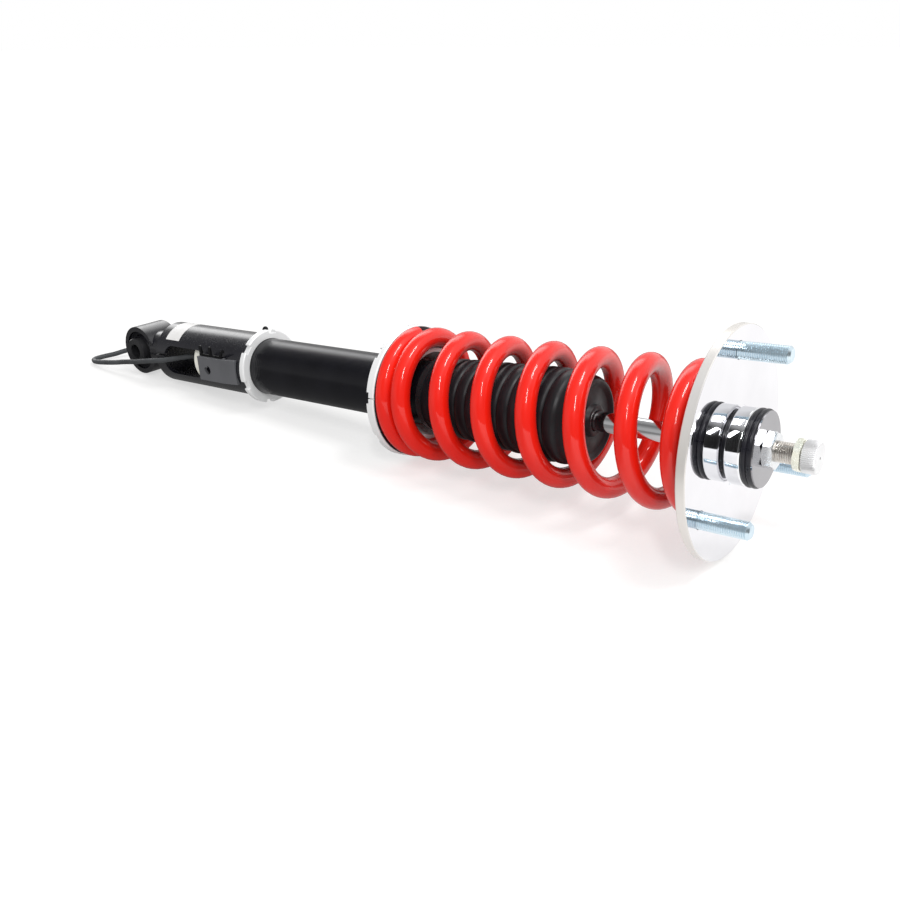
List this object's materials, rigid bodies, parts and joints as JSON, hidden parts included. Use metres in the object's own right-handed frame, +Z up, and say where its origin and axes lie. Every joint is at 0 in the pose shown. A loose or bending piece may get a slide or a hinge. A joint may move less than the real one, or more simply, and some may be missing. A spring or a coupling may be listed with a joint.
{
  "type": "coilover",
  "caption": "Height-adjustable monotube coilover: coil spring over a threaded damper, rubber-bushed lower eye on a screwed barrel, studded top plate and damping knob.",
  "frame": {"origin": "centre of the lower eye's bore", "axes": "+X along the damper's axis towards the top plate, +Y along the lower eye's bore away from the hose bracket, +Z up as the part lies"},
  "size_m": [0.6496, 0.134, 0.134],
  "materials": {
    "black_paint": "satin",
    "dark_rubber": "matt",
    "hose_bracket": "satin",
    "hose_clip": "satin",
    "line_pin": "satin",
    "anodised_aluminium": "clear anodised",
    "base_plug": "matt",
    "cable": "matt",
    "damper_tube": "satin, threaded",
    "machined_aluminium": "machined",
    "rod_seal": "matt",
    "spring": "gloss powder coat",
    "dust_boot": "matt",
    "bump_stop": "foam",
    "piston_rod": "polished",
    "piston_band": "matt",
    "plain_steel": "plain",
    "metering_rod": "machined",
    "mount_plate": "polished",
    "mount_studs": "blue zinc",
    "bush_collar": "polished",
    "end_washer": "plain",
    "rod_nut": "bright zinc",
    "adjuster_nut": "yellow zinc",
    "adjuster_knob": "knurled"
  },
  "bodies": {
    "damper": {"damper_tube": "damper_tube", "base_plug": "base_plug", "cable": "cable", "rod_guide": "machined_aluminium", "rod_seal": "rod_seal", "tube_cap": "black_paint", "dust_boot": "dust_boot", "boot_clamp": "black_paint", "bump_stop": "bump_stop", "spring": "spring"},
    "barrel": {"lower_eye": "black_paint", "eye_bush": "dark_rubber", "bracket_barrel": "black_paint", "hose_bracket": "hose_bracket", "hose_clip": "hose_clip", "line_pin": "line_pin"},
    "sleeve": {"eye_sleeve": "black_paint"},
    "lock_ring": {"lower_lock_ring": "anodised_aluminium"},
    "seat_pad": {"spring_pad": "dark_rubber"},
    "seat": {"spring_seat": "anodised_aluminium"},
    "gas_piston": {"gas_piston": "machined_aluminium", "gas_piston_seal": "dark_rubber"},
    "rod": {"piston_rod": "piston_rod", "piston": "machined_aluminium", "piston_band": "piston_band", "piston_nut": "plain_steel", "rebound_shims": "plain_steel", "lower_washer": "plain_steel", "under_bush": "dark_rubber", "bush_neck": "dark_rubber", "bush_base": "dark_rubber", "bush_collar": "bush_collar", "bush_ring": "dark_rubber", "end_washer": "end_washer", "rod_nut": "rod_nut", "adjuster_nut": "adjuster_nut"},
    "plate": {"mount_plate": "mount_plate", "mount_studs": "mount_studs", "upper_seat": "black_paint"},
    "adjuster": {"adjuster_knob": "adjuster_knob", "metering_rod": "metering_rod"}
  },
  "joints": [
    {"name": "damper_stroke", "type": "slide", "parent": "damper", "child": "rod", "axis": [-1, 0, 0], "range_m": [0, 0.06], "stiffness_N_per_m": 60000, "springref_m": -0.002, "deforming": ["spring"]},
    {"name": "mount_swivel", "type": "hinge", "parent": "rod", "child": "plate", "pos_m": [0.5377, 0, 0], "axis": [1, 0, 0], "continuous": true},
    {"name": "damping_adjuster", "type": "hinge", "parent": "rod", "child": "adjuster", "pos_m": [0.58, 0, 0], "axis": [1, 0, 0], "range_deg": [0, 720]},
    {"name": "gas_piston_float", "type": "slide", "parent": "damper", "child": "gas_piston", "axis": [-1, 0, 0], "range_m": [0, 0.0065]},
    {"name": "seat_height", "type": "slide", "parent": "damper", "child": "seat_pad", "axis": [-1, 0, 0], "range_m": [0, 0.03]},
    {"name": "seat_turn", "type": "hinge", "parent": "seat_pad", "child": "seat", "pos_m": [0.305, 0, 0], "axis": [-1, 0, 0], "range_deg": [0, 5400]},
    {"name": "ride_height", "type": "slide", "parent": "damper", "child": "barrel", "axis": [-1, 0, 0], "range_m": [0, 0.02]},
    {"name": "lock_ring_turn", "type": "hinge", "parent": "barrel", "child": "lock_ring", "pos_m": [0.155, 0, 0], "axis": [1, 0, 0], "range_deg": [0, 45]},
    {"name": "eye_twist", "type": "hinge", "parent": "barrel", "child": "sleeve", "pos_m": [0, 0, 0], "axis": [0, 1, 0], "range_deg": [-15, 15], "stiffness_Nm_per_rad": 10}
  ],
  "couplings": [
    {"joint": "gas_piston_float", "follows": "damper_stroke", "ratio": 0.1065},
    {"joint": "seat_height", "follows": "seat_turn", "m_per_rad": 0.000318}
  ]
}
